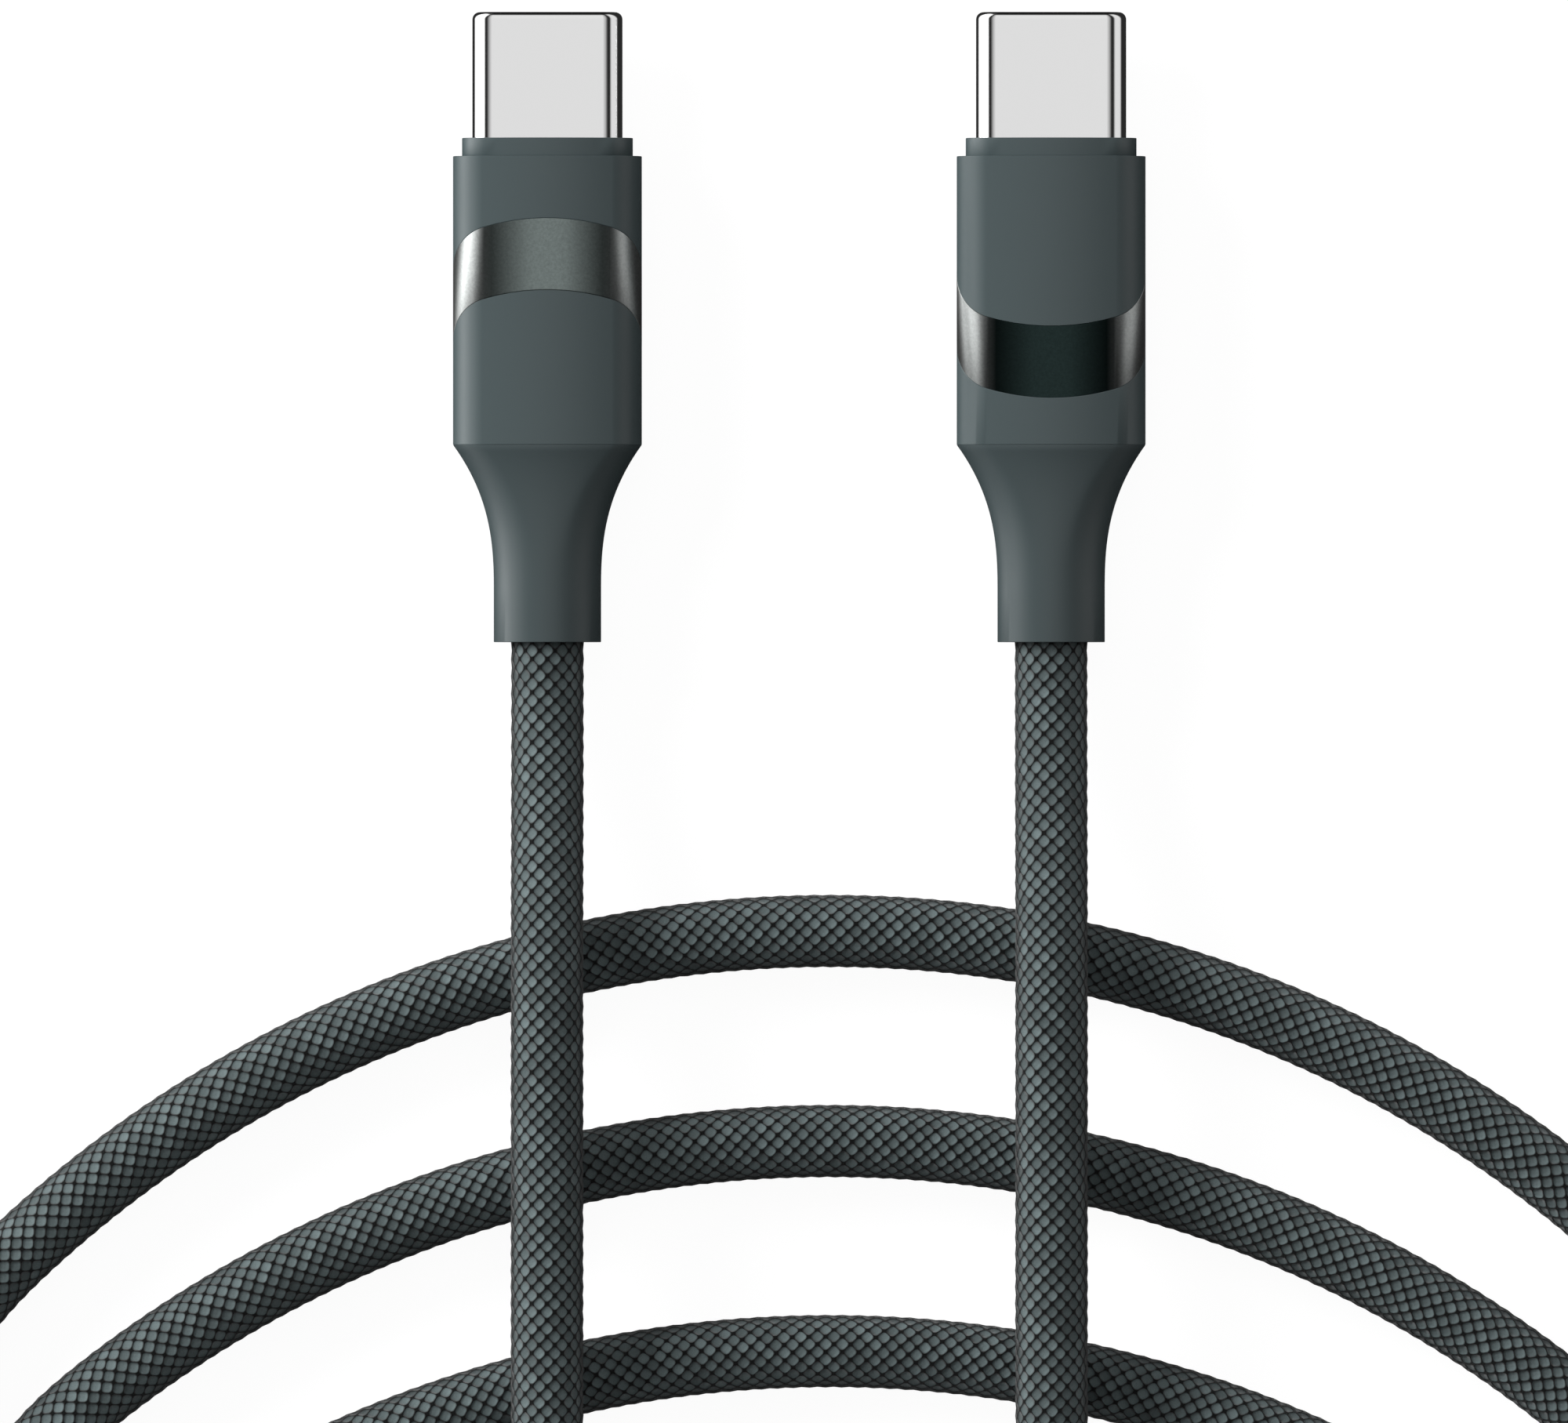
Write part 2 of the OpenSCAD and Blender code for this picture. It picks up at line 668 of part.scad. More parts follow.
// Least gap between turns, and the cord's length, measured on points 3 mm apart
function run_length(path) =
    [for (i = [0 : len(path) - 2]) norm(path[i + 1] - path[i])] * [for (i = [0 : len(path) - 2]) 1];
function dense(path) =
    [for (i = [0 : len(path) - 2]) let (n = ceil(norm(path[i + 1] - path[i]) / 3))
        for (j = [0 : n - 1]) mix(path[i], path[i + 1], j / n)];
coil_dense = dense(coil_path);
near = 12;
gaps = [for (i = [0 : len(coil_dense) - 1 - near]) for (j = [i + near : len(coil_dense) - 1])
    norm(coil_dense[i] - coil_dense[j]) - cord_d];
echo(least_gap_between_turns = min(gaps));
echo(coil_rings = len(coil_path), coil_length = run_length(coil_path),
     left_length = run_length(left_route), right_length = run_length(right_route));
echo(tip_to_tip = run_length(coil_path) + run_length(left_route) + run_length(right_route)
     + 2 * mouth_y);

module left_lead() {
    color(BRAID) tube(left_route, cord_d, 8);
}

module right_lead() {
    color(BRAID) tube(right_route, cord_d, 8);
}

module cord_coil() {
    color(BRAID) tube(coil_path, cord_d, 6, 30);
}

// ---- Assembly ----

// The right connector is the same part turned over, so it shows its other face
module placed(end) {
    if (end == "left") translate([-lead_x, half_len, axis_z]) children();
    else translate([lead_x, half_len, axis_z]) rotate([0, 180, 0]) children();
}

for (end = ENDS) {
    placed(end) plug_shell();
    placed(end) contact_carrier();
    placed(end) upper_contacts();
    placed(end) lower_contacts();
    placed(end) latch_spring();
    placed(end) upper_ground_spring();
    placed(end) lower_ground_spring();
    placed(end) paddle_card();
    placed(end) capacitors();
    placed(end) power_wire();
    placed(end) ground_wire();
    placed(end) data_wires();
    placed(end) control_wire();
    placed(end) upper_shield();
    placed(end) lower_shield();
    placed(end) inner_mould();
    placed(end) nose_collar();
    placed(end) front_housing();
    placed(end) rear_housing();
    placed(end) trim_band();
    placed(end) strain_relief();
    placed(end) crimp_ferrule();
    placed(end) jacket_end();
    placed(end) braid_end();
}
placed("left") cable_chip();  // left_cable_chip
left_lead();
right_lead();
cord_coil();
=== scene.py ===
"""A braided charging cable with a small reversible plug on each end, lying in loose turns."""
import json
import math

import bmesh
import bpy
import numpy as np
from mathutils import Matrix, Vector


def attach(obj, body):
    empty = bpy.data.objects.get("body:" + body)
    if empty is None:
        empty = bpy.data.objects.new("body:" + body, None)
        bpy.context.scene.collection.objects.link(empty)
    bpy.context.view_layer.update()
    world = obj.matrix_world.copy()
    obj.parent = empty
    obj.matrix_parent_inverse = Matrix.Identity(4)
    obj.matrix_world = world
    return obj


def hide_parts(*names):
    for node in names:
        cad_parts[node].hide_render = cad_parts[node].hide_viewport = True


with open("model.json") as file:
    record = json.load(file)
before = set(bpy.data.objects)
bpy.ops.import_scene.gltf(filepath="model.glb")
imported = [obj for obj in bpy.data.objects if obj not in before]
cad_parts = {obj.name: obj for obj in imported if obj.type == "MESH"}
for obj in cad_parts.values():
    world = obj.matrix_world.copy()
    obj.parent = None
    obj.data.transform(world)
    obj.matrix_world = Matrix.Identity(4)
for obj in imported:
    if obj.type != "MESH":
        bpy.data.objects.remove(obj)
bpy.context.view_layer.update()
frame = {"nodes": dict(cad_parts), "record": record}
MM = 0.001


# ---- Studio ----
# The cable lies on a white floor and is seen from straight above through a long lens. Overhead is a
# pale ceiling, with a dark gap between it and the pale walls, which draws the metal's edges.

VIEW_WIDTH = 86.17 * MM         # what the view's width takes in, at the height of the connectors
VIEW_CENTRE = (-0.84 * MM, -21.12 * MM)
LENS = 800.0
SENSOR = 36.0
CONNECTOR_AXIS_Z = 2.975 * MM


def add_node(tree, kind, inputs=None, **settings):
    """Adds a node, sets its properties, and gives each input its value or links a socket to it."""
    node = tree.nodes.new(kind)
    for name, value in settings.items():
        setattr(node, name, value)
    for name, value in (inputs or {}).items():
        if isinstance(value, bpy.types.NodeSocket):
            tree.links.new(value, node.inputs[name])
        else:
            node.inputs[name].default_value = value
    return node


def srgb(code):
    """A colour written in sRGB hex, turned to linear red, green, blue and alpha."""
    levels = [int(code[i:i + 2], 16) / 255 for i in (1, 3, 5)]
    return [v / 12.92 if v <= 0.04045 else ((v + 0.055) / 1.055) ** 2.4 for v in levels] + [1.0]


def new_material(name):
    """An empty node material, and its tree."""
    made = bpy.data.materials.new(name)
    made.use_nodes = True
    made.node_tree.nodes.clear()
    return made, made.node_tree


camera = bpy.data.objects.new("camera", bpy.data.cameras.new("camera"))
camera.data.lens = LENS
camera.data.sensor_width = SENSOR
camera.data.clip_start = 0.01
camera.data.clip_end = 10.0
camera.location = (*VIEW_CENTRE, CONNECTOR_AXIS_Z + VIEW_WIDTH * LENS / SENSOR)
bpy.context.collection.objects.link(camera)
bpy.context.scene.camera = camera
bpy.context.scene.view_settings.view_transform = "Standard"

# How bright the room is by the angle from straight up, leftwards negative. That is multiplied by
# the second list, which goes by the sine of the angle towards the plugs, or the cord if negative.
ROOM = [(-128, 0.02), (-119, 1.00), (-108, 1.35), (-104, 4.2), (-86, 4.2), (-82, 1.90), (-58, 1.75),
        (-48, 0.02), (-37, 0.02), (-25, 0.40), (-12, 0.69), (12, 0.69), (25, 0.40), (37, 0.02),
        (50, 0.02), (60, 0.68), (90, 0.68), (102, 0.02)]
ROOM_ALONG = [(-0.98, 0.55), (-0.80, 0.35), (-0.50, 0.06), (-0.16, 0.33), (-0.04, 0.92), (0.40, 0.96),
              (0.88, 0.96), (0.97, 0.05)]
ROOM_LIGHT = 1.30
world = bpy.data.worlds.new("studio")
world.use_nodes = True
bpy.context.scene.world = world
tree = world.node_tree
tree.nodes.clear()
direction = add_node(tree, "ShaderNodeTexCoord").outputs["Generated"]
parts = add_node(tree, "ShaderNodeSeparateXYZ", {0: direction})
angle = add_node(tree, "ShaderNodeMath", {0: parts.outputs["X"], 1: parts.outputs["Z"]},
                 operation="ARCTAN2")
share = add_node(tree, "ShaderNodeMapRange", {0: angle.outputs[0], 1: -math.pi, 2: math.pi})
share_along = add_node(tree, "ShaderNodeMapRange", {0: parts.outputs["Y"], 1: -1.0, 2: 1.0})
ramps = []
for stops, half_span, place in ((ROOM, 180, share), (ROOM_ALONG, 1, share_along)):
    ramp = add_node(tree, "ShaderNodeValToRGB", {0: place.outputs[0]})
    while len(ramp.color_ramp.elements) < len(stops):
        ramp.color_ramp.elements.new(0.5)
    for stop, (distance, level) in zip(ramp.color_ramp.elements, stops):
        stop.position = 0.5 + distance / (2 * half_span)
        stop.color = (level, level, level, 1.0)
    ramps.append(ramp)
walls = add_node(tree, "ShaderNodeMix", {0: 1.0, 6: ramps[0].outputs["Color"], 7: ramps[1].outputs["Color"]},
                 data_type="RGBA", blend_type="MULTIPLY")
room = add_node(tree, "ShaderNodeBackground", {"Color": walls.outputs[2], "Strength": ROOM_LIGHT})
white = add_node(tree, "ShaderNodeBackground", {"Color": (1.0, 1.0, 1.0, 1.0), "Strength": 1.0})
seen = add_node(tree, "ShaderNodeLightPath").outputs["Is Camera Ray"]
choice = add_node(tree, "ShaderNodeMixShader", {0: seen, 1: room.outputs[0], 2: white.outputs[0]})
add_node(tree, "ShaderNodeOutputWorld", {"Surface": choice.outputs[0]})

# One large soft lamp, high on the left; it lights the dull pieces and isn't mirrored in the metal
left_lamp = bpy.data.objects.new("left_lamp", bpy.data.lights.new("left_lamp", "AREA"))
left_lamp.data.size = 0.40
left_lamp.data.energy = 8.5
left_lamp.location = (-0.70, 0.40, 0.42)
LAMP_AIM = Vector((0.0, -0.03, 0.0))
left_lamp.rotation_euler = (LAMP_AIM - left_lamp.location).to_track_quat("-Z", "Y").to_euler()
left_lamp.visible_glossy = False
bpy.context.collection.objects.link(left_lamp)

FLOOR_SIZE, FLOOR_Z = 3.0, -0.15 * MM
bpy.ops.object.select_all(action="DESELECT")
bpy.ops.mesh.primitive_plane_add(size=FLOOR_SIZE, location=(0, 0, FLOOR_Z))
floor = bpy.context.object
floor.name = "floor"
floor.visible_glossy = False

# To the camera the floor is white, with just enough of its paint in it to keep a faint soft shadow
white_floor, tree = new_material("white_floor")
paint = add_node(tree, "ShaderNodeBsdfDiffuse", {"Color": srgb("#d8d8d8")})
shadowed = add_node(tree, "ShaderNodeBsdfDiffuse", {"Color": srgb("#5e5e5e")})
glow = add_node(tree, "ShaderNodeEmission", {"Color": (1.0, 1.0, 1.0, 1.0), "Strength": 0.95})
white = add_node(tree, "ShaderNodeAddShader", {0: shadowed.outputs[0], 1: glow.outputs[0]})
seen = add_node(tree, "ShaderNodeLightPath").outputs["Is Camera Ray"]
choice = add_node(tree, "ShaderNodeMixShader", {0: seen, 1: paint.outputs[0], 2: white.outputs[0]})
add_node(tree, "ShaderNodeOutputMaterial", {"Surface": choice.outputs[0]})
floor.data.materials.append(white_floor)


# ---- Cord ----
# A cord of stranded wires in a soft jacket, with a textile braid over it. Two sets of fourteen
# yarns cross at right angles, so the surface is rows of small pillows, each row half a pillow on.

CORD_D = 3.95 * MM
LYING_Z = CORD_D / 2
LEAD_X = 13.84 * MM             # from the middle to each connector's axis
HALF_LENGTH = 17.31 * MM        # half a connector's length, tip to mouth
LEFT_EXIT = (-LEAD_X, -HALF_LENGTH, CONNECTOR_AXIS_Z)
RIGHT_EXIT = (LEAD_X, -HALF_LENGTH, CONNECTOR_AXIS_Z)

# The straight ends, as places along Y and heights in millimetres; they pass over the turns
LEFT_RUN = [(-20.3, 2.975), (-24.1, 3.37), (-27.9, 4.54), (-31.7, 5.7), (-35.5, 6.1), (-41, 6.1),
            (-46.5, 6.1), (-52, 6.1), (-58.8, 6.1), (-62.6, 5.56), (-66.4, 4.04), (-70.2, 2.52),
            (-73.6, 1.975)]
RIGHT_RUN = [(-20.3, 2.975), (-24.1, 3.37), (-27.9, 4.54), (-31.7, 5.7), (-35.5, 6.1), (-41, 6.1),
             (-46.5, 6.1), (-52, 6.1), (-58.2, 6.1)]
RIGHT_CROSSING = [(13.9, -62.6, 5.6), (14.3, -67.1, 4.04), (14.9, -71.6, 2.48), (15.7, -76, 1.975),
                  (16.5, -79.8, 2.02), (17.3, -84.2, 2.66), (17.9, -89, 4.2), (18.2, -93.8, 5.6),
                  (18.1, -98.4, 6.1), (17.2, -102.8, 6.1), (15.5, -106.2, 6.1), (12.8, -109.5, 6.1),
                  (8.8, -112.8, 6.04), (4.1, -114.9, 5.1), (-1.1, -115.8, 3.3), (-5.3, -115.5, 2.2)]

# The turns, in millimetres and degrees
TURN_R, TURN_X, TURN_TOP, TURN_STEP = 65.2, 1.68, -33.15, 11.55
LANE, LEFT_SIDE, RIGHT_SIDE = 4.6, -50.0, 52.5
CORNER_Y, CORNER_R, BOTTOM_R = -80.5, 16.0, 90.0
SHOULDER_R = (16.0, 15.0, 20.0)
INNER_BEND_R, STRAIGHT_END, OUTER_END_ANGLE = 20.0, 4.0, 257.0
RING_STEP = 3.0                 # degrees from one point of a turn to the next


def arc(centre, r, start, end):
    """Points along an arc that lies on the floor, without its first point."""
    steps = max(1, round(abs(end - start) / RING_STEP))
    angles = [math.radians(start + (end - start) * i / steps) for i in range(1, steps + 1)]
    return [(centre[0] + r * math.cos(a), centre[1] + r * math.sin(a), LYING_Z / MM) for a in angles]


def over_the_top(k):
    """Turn k, counted outwards from 0: its right shoulder, its top and its left shoulder."""
    inward = 2 - k
    centre_y = TURN_TOP - TURN_STEP * inward - TURN_R
    r = SHOULDER_R[k]
    reach = TURN_R - r
    right_end = math.degrees(math.acos((RIGHT_SIDE - LANE * inward - r - TURN_X) / reach))
    left_end = 180 - math.degrees(math.acos((TURN_X - LEFT_SIDE - LANE * inward - r) / reach))
    right, left = ((TURN_X + reach * math.cos(a), centre_y + reach * math.sin(a))
                   for a in (math.radians(right_end), math.radians(left_end)))
    return ([(right[0] + r, right[1], LYING_Z / MM)] + arc(right, r, 0, right_end)
            + arc((TURN_X, centre_y), TURN_R, right_end, left_end) + arc(left, r, left_end, 180))


bottom_x = (LEFT_SIDE + RIGHT_SIDE + LANE) / 2
corner_off = (RIGHT_SIDE + LANE - LEFT_SIDE) / 2 - CORNER_R - 3 * LANE
corner_reach = BOTTOM_R - CORNER_R - 3 * LANE
bottom_centre = (bottom_x, CORNER_Y + math.sqrt(corner_reach ** 2 - corner_off ** 2))
bottom_half = math.degrees(math.asin(corner_off / corner_reach))


def bottom_left(k):
    """The corner in which turn k's left side becomes its bottom."""
    r = CORNER_R + LANE * (k + 1)
    return [(bottom_x - corner_off - r, CORNER_Y, LYING_Z / MM)] + arc(
        (bottom_x - corner_off, CORNER_Y), r, 180, 270 - bottom_half)


def bottom_run(k, start, end):
    """A stretch of bottom k, which lies one lane outside bottom k - 1."""
    return arc(bottom_centre, corner_reach + CORNER_R + LANE * (k + 1), start, end)


def bottom_right(k):
    """The corner in which bottom k becomes the right side of turn k + 1."""
    return arc((bottom_x + corner_off, CORNER_Y), CORNER_R + LANE * (k + 1), 270 + bottom_half, 360)


inner_reach = corner_reach + CORNER_R - INNER_BEND_R
inner_x = -LEAD_X / MM + INNER_BEND_R
inner_y = bottom_centre[1] - math.sqrt(inner_reach ** 2 - (inner_x - bottom_x) ** 2)
inner_end = 360 + math.degrees(math.atan2(inner_y - bottom_centre[1], inner_x - bottom_x))
outer_dir = (-math.sin(math.radians(OUTER_END_ANGLE)), math.cos(math.radians(OUTER_END_ANGLE)), 0.0)
outer_left = bottom_run(2, 270 - bottom_half, OUTER_END_ANGLE)
coil_end = tuple(a + STRAIGHT_END * b for a, b in zip(outer_left[-1], outer_dir))

turns = [(-LEAD_X / MM, inner_y + STRAIGHT_END, LYING_Z / MM), (-LEAD_X / MM, inner_y, LYING_Z / MM)]
turns += arc((inner_x, inner_y), INNER_BEND_R, 180, inner_end)
turns += bottom_run(-1, inner_end, 270 + bottom_half) + bottom_right(-1)
for k in (0, 1):
    turns += over_the_top(k) + bottom_left(k) + bottom_run(k, 270 - bottom_half, 270 + bottom_half)
    turns += bottom_right(k)
turns += over_the_top(2) + bottom_left(2) + outer_left + [coil_end]

left_points = [tuple(v / MM for v in LEFT_EXIT)] + [(-LEAD_X / MM, y, z) for y, z in LEFT_RUN]
right_points = [tuple(v / MM for v in RIGHT_EXIT)] + [(LEAD_X / MM, y, z) for y, z in RIGHT_RUN]
right_points += RIGHT_CROSSING + [tuple(a + STRAIGHT_END * b for a, b in zip(coil_end, outer_dir))]


def smooth_run(points, after):
    """A curve through the points, three steps to each, which runs on towards the point after them."""
    p = np.array([2 * np.array(points[0]) - points[1]] + points + [after], float)
    steps = np.linspace(0, 1, 4)[:-1, None]
    spans = []
    for a, b, c, d in zip(p[:-3], p[1:-2], p[2:-1], p[3:]):
        spans.append(0.5 * (2 * b + (c - a) * steps + (2 * a - 5 * b + 4 * c - d) * steps ** 2
                            + (3 * b - a - 3 * c + d) * steps ** 3))
    return np.vstack(spans + [p[-2:-1]])


left_curve = smooth_run(left_points + [turns[0]], turns[1])[:-1]
right_curve = smooth_run(right_points + [coil_end], turns[-2])[:-1]
route = np.vstack([left_curve, np.array(turns), right_curve[::-1]]) * MM
apart = np.linalg.norm(np.diff(route, axis=0), axis=1) > 0.01 * MM
route = route[np.concatenate([[True], apart])]       # without points that repeat the one before

# The braid has about 119,000 small faces that follow the route, so its mesh is made from arrays
YARN_COLUMNS = 28               # pillows and gaps round the cord
ROW_STEP = 0.453 * MM           # from one row of pillows to the next
RELIEF = 0.045 * MM             # how far the gaps lie below the pillows
PROUD = 0.030 * MM              # how far the pillows stand out of the cord's measured thickness
ROUNDING_PASSES = 30            # these round off the chords between the route's points


def length_so_far(points):
    """The distance along a route to each of its points."""
    return np.concatenate([[0], np.cumsum(np.linalg.norm(np.diff(points, axis=0), axis=1))])


def directions(points):
    """The unit directions across a route and up from it, at each of its points."""
    ahead = np.gradient(points, axis=0)
    across = np.cross(ahead, (0.0, 0.0, 1.0))
    across /= np.linalg.norm(across, axis=1)[:, None]
    up = np.cross(across, ahead)
    return across, up / np.linalg.norm(up, axis=1)[:, None]


# The rows are evenly spaced along the top of the cord, where it rises over the turns as well
top = route + CORD_D / 2 * directions(route)[1]
distance = length_so_far(top[:, :2])
steps = 2 * round(distance[-1] / ROW_STEP / 2)
wanted = np.linspace(0, distance[-1], steps + 1)
line = np.stack([np.interp(wanted, distance, route[:, i]) for i in range(3)], axis=1)
for _ in range(ROUNDING_PASSES):
    line[1:-1] = 0.25 * line[:-2] + 0.5 * line[1:-1] + 0.25 * line[2:]
across, up = directions(line)
rows = len(line)
turn = 2 * math.pi * np.arange(YARN_COLUMNS) / YARN_COLUMNS
in_gap = (np.arange(rows)[:, None] + np.arange(YARN_COLUMNS)[None, :]) % 2
radius = CORD_D / 2 + PROUD - RELIEF * in_gap
ring = np.cos(turn)[None, :, None] * across[:, None, :] + np.sin(turn)[None, :, None] * up[:, None, :]
points = (line[:, None, :] + radius[:, :, None] * ring).reshape(-1, 3)
points = np.vstack([points, line[:1], line[-1:]])

square = np.arange((rows - 1) * YARN_COLUMNS)
row, column = square // YARN_COLUMNS, square % YARN_COLUMNS
beside = (column + 1) % YARN_COLUMNS
corners = [row * YARN_COLUMNS + column, row * YARN_COLUMNS + beside,
           (row + 1) * YARN_COLUMNS + beside, (row + 1) * YARN_COLUMNS + column]
corner_uv = [np.stack([(column + a) / 2, (row + b) / 2], axis=1)
             for a, b in ((0, 0), (1, 0), (1, 1), (0, 1))]
first_low = (row + column) % 2 == 1      # the crease joins the two gap points of each square
orders = np.where(first_low[:, None], [[0, 1, 2, 0, 2, 3]], [[0, 1, 3, 1, 2, 3]])
faces = np.take_along_axis(np.stack(corners, axis=1), orders, axis=1).reshape(-1, 3)
face_uv = np.take_along_axis(np.stack(corner_uv, axis=1), orders[:, :, None], axis=1).reshape(-1, 2)
here = np.arange(YARN_COLUMNS)
following = (here + 1) % YARN_COLUMNS
last_row = (rows - 1) * YARN_COLUMNS
start_middle = np.full_like(here, rows * YARN_COLUMNS)
start_cap = np.stack([following, here, start_middle], axis=1)
end_cap = np.stack([last_row + here, last_row + following, start_middle + 1], axis=1)
mesh = bpy.data.meshes.new("braided_cord")
mesh.from_pydata(points.tolist(), [], np.vstack([faces, start_cap, end_cap]).tolist())
uv = mesh.uv_layers.new(name="braid")
uv.data.foreach_set("uv", np.vstack([face_uv, np.zeros((6 * YARN_COLUMNS, 2))]).ravel())
mesh.shade_smooth()
cord = bpy.data.objects.new("braided_cord", mesh)
bpy.context.collection.objects.link(cord)


def braid(name, pillow, painted_gap_shade):
    """Woven polyester yarn: each pillow is a soft bundle of filaments, dull, with a fine fuzz, and painted
    shade in the gaps between pillows.
    """
    made, tree = new_material(name)
    flat = add_node(tree, "ShaderNodeUVMap", uv_map="braid").outputs[0]
    plane = add_node(tree, "ShaderNodeSeparateXYZ", {0: flat})
    sides = []
    cells = []
    # A pillow falls off from its middle towards the sides of both yarns; the power makes it fuller
    for way in ("ADD", "SUBTRACT"):
        strand = add_node(tree, "ShaderNodeMath", {0: plane.outputs[0], 1: plane.outputs[1]}, operation=way)
        off = add_node(tree, "ShaderNodeMath", {0: strand.outputs[0], 1: 0.5}, operation="PINGPONG")
        double = add_node(tree, "ShaderNodeMath", {0: off.outputs[0], 1: 2.0}, operation="MULTIPLY")
        side = add_node(tree, "ShaderNodeMath", {0: double.outputs[0], 1: 2.8}, operation="POWER")
        cell = add_node(tree, "ShaderNodeMath", {0: strand.outputs[0]}, operation="ROUND")
        sides.append(side.outputs[0])
        cells.append(cell.outputs[0])
    fall = add_node(tree, "ShaderNodeMath", {0: sides[0], 1: sides[1]}, operation="ADD")
    height = add_node(tree, "ShaderNodeMath", {0: 1.0, 1: fall.outputs[0]}, operation="SUBTRACT",
                      use_clamp=True)
    cell = add_node(tree, "ShaderNodeCombineXYZ", {0: cells[0], 1: cells[1]})
    chance = add_node(tree, "ShaderNodeTexWhiteNoise", {"Vector": cell.outputs[0]})
    # Filaments are about 0.02 mm thick; the fuzz is drawn at 0.06 mm, which shows
    fuzz = add_node(tree, "ShaderNodeTexNoise", {"Vector": flat, "Scale": 15.0, "Detail": 3.0,
                                                 "Roughness": 0.7})
    uneven = add_node(tree, "ShaderNodeMapRange", {0: fuzz.outputs[0], 1: 0.3, 2: 0.7, 3: 0.86, 4: 1.14})
    each = add_node(tree, "ShaderNodeMapRange", {0: chance.outputs[0], 3: 0.72, 4: 1.28})
    shade = add_node(tree, "ShaderNodeMath", {0: uneven.outputs[0], 1: each.outputs[0]},
                     operation="MULTIPLY")
    yarn = add_node(tree, "ShaderNodeVectorMath", {0: srgb(pillow)[:3], "Scale": shade.outputs[0]},
                    operation="SCALE")
    # Painted shade: the colour falls to the near-black gap colour between the pillows
    painted_shade_factor = add_node(tree, "ShaderNodeMapRange", {0: height.outputs[0], 1: 0.0, 2: 0.56},
                     interpolation_type="SMOOTHSTEP")
    colour = add_node(tree, "ShaderNodeMix", {0: painted_shade_factor.outputs[0], 6: srgb(painted_gap_shade), 7: yarn.outputs[0]},
                      data_type="RGBA")
    # Painted shade: where the cord turns away from the view, the colour is darkened, as the pillows there
    # hide one another's lit sides
    away = add_node(tree, "ShaderNodeLayerWeight", {"Blend": 0.5}).outputs["Facing"]
    painted_edge_shade = add_node(tree, "ShaderNodeMapRange", {0: away, 1: 0.30, 2: 0.77, 3: 1.0, 4: 0.08},
                      interpolation_type="SMOOTHSTEP")
    edge_shaded_colour = add_node(tree, "ShaderNodeVectorMath", {0: colour.outputs[2], "Scale": painted_edge_shade.outputs[0]},
                   operation="SCALE")
    rounded = add_node(tree, "ShaderNodeMath", {0: height.outputs[0], 1: 0.7}, operation="POWER")
    rough = add_node(tree, "ShaderNodeMath", {0: fuzz.outputs[0], 1: 0.12}, operation="MULTIPLY")
    relief = add_node(tree, "ShaderNodeMath", {0: rounded.outputs[0], 1: rough.outputs[0]}, operation="ADD")
    bump = add_node(tree, "ShaderNodeBump", {"Height": relief.outputs[0], "Distance": 0.20 * MM})
    surface = add_node(tree, "ShaderNodeBsdfPrincipled", {
        "Base Color": edge_shaded_colour.outputs[0], "Roughness": 0.85, "IOR": 1.45, "Specular IOR Level": 0.3,
        "Sheen Weight": 0.15, "Sheen Roughness": 0.5, "Normal": bump.outputs[0]})
    add_node(tree, "ShaderNodeOutputMaterial", {"Surface": surface.outputs[0]})
    return made


# The second colour is the painted shade in the gaps between pillows
cord.data.materials.append(braid("slate_polyester_braid", "#586364", "#030404"))
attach(cord, "root")
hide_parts("left_lead", "right_lead", "cord_coil")


# ---- Plug shell ----
# Deep-drawn and nickel-plated steel sheet, 0.3 mm thick, with round sides. The rim at the tip is
# turned inwards, so it is round outside and leaves the slot open.

SHARP = math.radians(40)        # an edge that turns by more than this stays sharp


def loft(name, rings, sides=96, edge=0.0):
    """A closed wall: a circle is pulled through the rings and joined to its start. Each ring is its distance
    behind the tip, its slope and its outline, which gives x and z by the way that the surface faces."""
    bpy.ops.object.select_all(action="DESELECT")
    bpy.ops.mesh.primitive_circle_add(vertices=sides, radius=1.0)
    piece = bpy.context.object
    piece.name = name
    bpy.ops.object.mode_set(mode="EDIT")
    shape = bmesh.from_edit_mesh(piece.data)
    facing = shape.verts.layers.float.new("facing")
    place = shape.verts.layers.int.new("ring")
    for v in shape.verts:
        v[facing] = math.atan2(v.co.y, v.co.x) + math.pi / sides
    for number, (back, slope, outline) in enumerate(rings):
        if number:
            bpy.ops.mesh.extrude_region_move()
            shape = bmesh.from_edit_mesh(piece.data)
            facing = shape.verts.layers.float["facing"]
            place = shape.verts.layers.int["ring"]
        for v in shape.verts:
            if v.select:
                x, z = outline(v[facing])
                v.co = (x, -back + slope * z, z)
                v[place] = number
    last = len(rings) - 1
    for v in shape.verts:
        v.select = v[place] in (0, last)
    for e in shape.edges:
        e.select = all(v[place] == 0 for v in e.verts) or all(v[place] == last for v in e.verts)
    bmesh.update_edit_mesh(piece.data)
    bpy.ops.mesh.select_mode(type="EDGE")
    bpy.ops.mesh.bridge_edge_loops()
    bpy.ops.mesh.select_all(action="SELECT")
    bpy.ops.mesh.normals_make_consistent(inside=False)
    if edge:
        bpy.ops.mesh.select_all(action="DESELECT")
        bpy.ops.mesh.edges_select_sharp(sharpness=SHARP)
        bpy.ops.mesh.bevel(offset=edge, segments=2, affect="EDGES")
    bpy.ops.object.mode_set(mode="OBJECT")
    bpy.ops.object.shade_smooth_by_angle(angle=SHARP)
    piece.modifiers.new("even_normals", "WEIGHTED_NORMAL").keep_sharp = True
    bpy.ops.object.modifier_apply(modifier="even_normals")
    return piece


